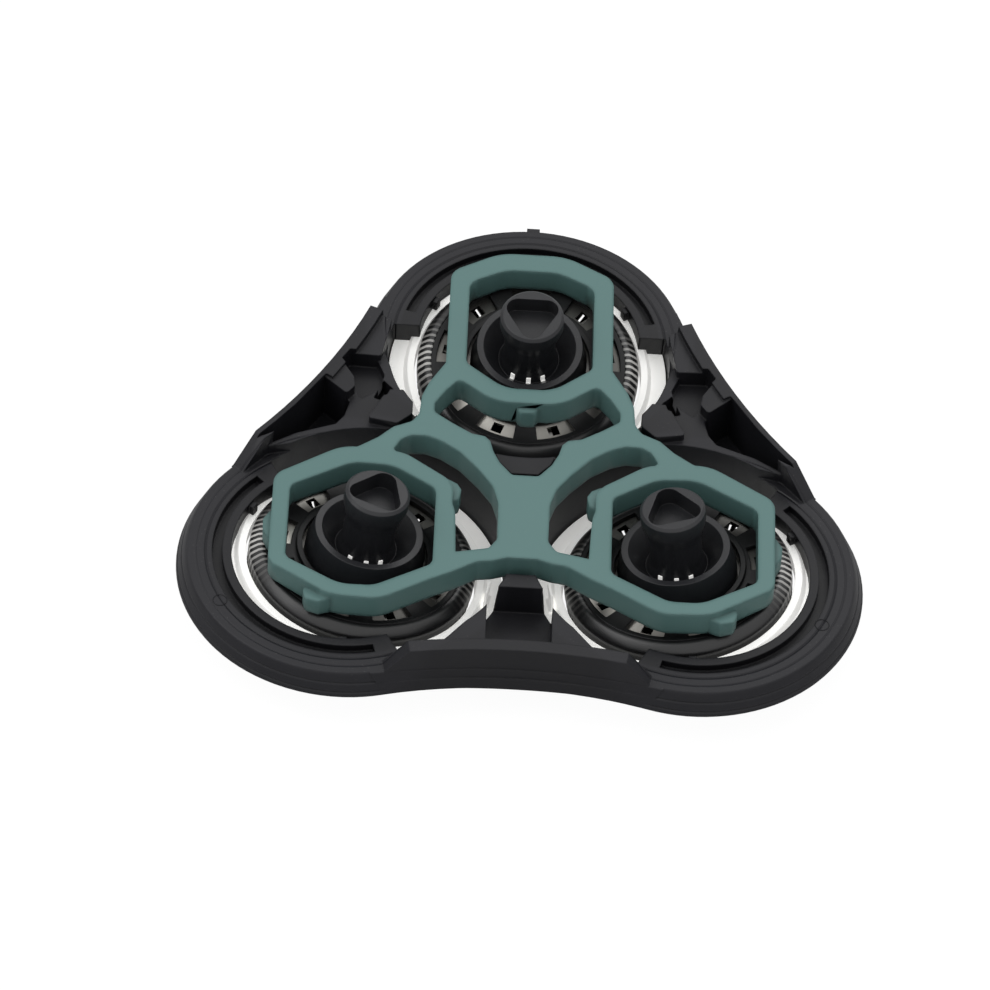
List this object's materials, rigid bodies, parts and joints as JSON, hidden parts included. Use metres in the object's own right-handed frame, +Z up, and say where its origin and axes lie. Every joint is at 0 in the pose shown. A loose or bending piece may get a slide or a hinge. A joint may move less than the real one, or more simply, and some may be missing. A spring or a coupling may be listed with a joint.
{
  "type": "rotary shaver head",
  "caption": "Rotary shaver head seen from its drive side: lobed black frame, bright rings, tilting slotted caps, inner cutters, drive sockets and a green retaining frame.",
  "frame": {"origin": "on the resting plane under the middle of the outline; the hub axis is 4.49 mm behind it, at Y = -4.49 mm", "axes": "+Z up towards the drive side, +Y through the top lobe, +X across the two others"},
  "size_m": [0.0612, 0.0572, 0.0127],
  "materials": {
    "black_plastic": "satin moulded plastic",
    "green_plastic": "satin moulded plastic",
    "bright_ring": "polished",
    "cap_steel": "fine turned",
    "inlay_plastic": "gloss",
    "holder_plastic": "satin moulded plastic",
    "plate_steel": "bright stamped sheet",
    "cutter_steel": "ground",
    "coupling_plastic": "semi-gloss"
  },
  "bodies": {
    "frame": {"head_frame": "black_plastic", "skin_ring_top": "bright_ring", "skin_ring_left": "bright_ring", "skin_ring_right": "bright_ring"},
    "retainer": {"retaining_frame": "green_plastic"},
    "unit_top": {"cap_top": "cap_steel", "cap_inlay_top": "inlay_plastic", "cap_holder_top": "holder_plastic", "lock_plate_top": "plate_steel"},
    "drive_top": {"cutter_top": "cutter_steel", "coupling_top": "coupling_plastic"},
    "unit_left": {"cap_left": "cap_steel", "cap_inlay_left": "inlay_plastic", "cap_holder_left": "holder_plastic", "lock_plate_left": "plate_steel"},
    "drive_left": {"cutter_left": "cutter_steel", "coupling_left": "coupling_plastic"},
    "unit_right": {"cap_right": "cap_steel", "cap_inlay_right": "inlay_plastic", "cap_holder_right": "holder_plastic", "lock_plate_right": "plate_steel"},
    "drive_right": {"cutter_right": "cutter_steel", "coupling_right": "coupling_plastic"}
  },
  "joints": [
    {"name": "top_unit_tilt", "type": "hinge", "parent": "frame", "child": "unit_top", "pos_m": [0, 0.01176, 0.00398], "axis": [-1, 0, 0], "range_deg": [-2.5, 2.5]},
    {"name": "top_cutter_spin", "type": "hinge", "parent": "unit_top", "child": "drive_top", "pos_m": [0, 0.01176, 0.00398], "axis": [0, -0.1478, 0.989], "continuous": true},
    {"name": "left_unit_tilt", "type": "hinge", "parent": "frame", "child": "unit_left", "pos_m": [-0.01407, -0.01261, 0.00398], "axis": [0.5, -0.866, 0], "range_deg": [-2.5, 2.5]},
    {"name": "left_cutter_spin", "type": "hinge", "parent": "unit_left", "child": "drive_left", "pos_m": [-0.01407, -0.01261, 0.00398], "axis": [0.128, 0.0739, 0.989], "continuous": true},
    {"name": "right_unit_tilt", "type": "hinge", "parent": "frame", "child": "unit_right", "pos_m": [0.01407, -0.01261, 0.00398], "axis": [0.5, 0.866, 0], "range_deg": [-2.5, 2.5]},
    {"name": "right_cutter_spin", "type": "hinge", "parent": "unit_right", "child": "drive_right", "pos_m": [0.01407, -0.01261, 0.00398], "axis": [-0.128, 0.0739, 0.989], "continuous": true},
    {"name": "retainer_lift", "type": "slide", "parent": "frame", "child": "retainer", "axis": [0, 0, 1], "range_m": [0, 0.012]}
  ]
}
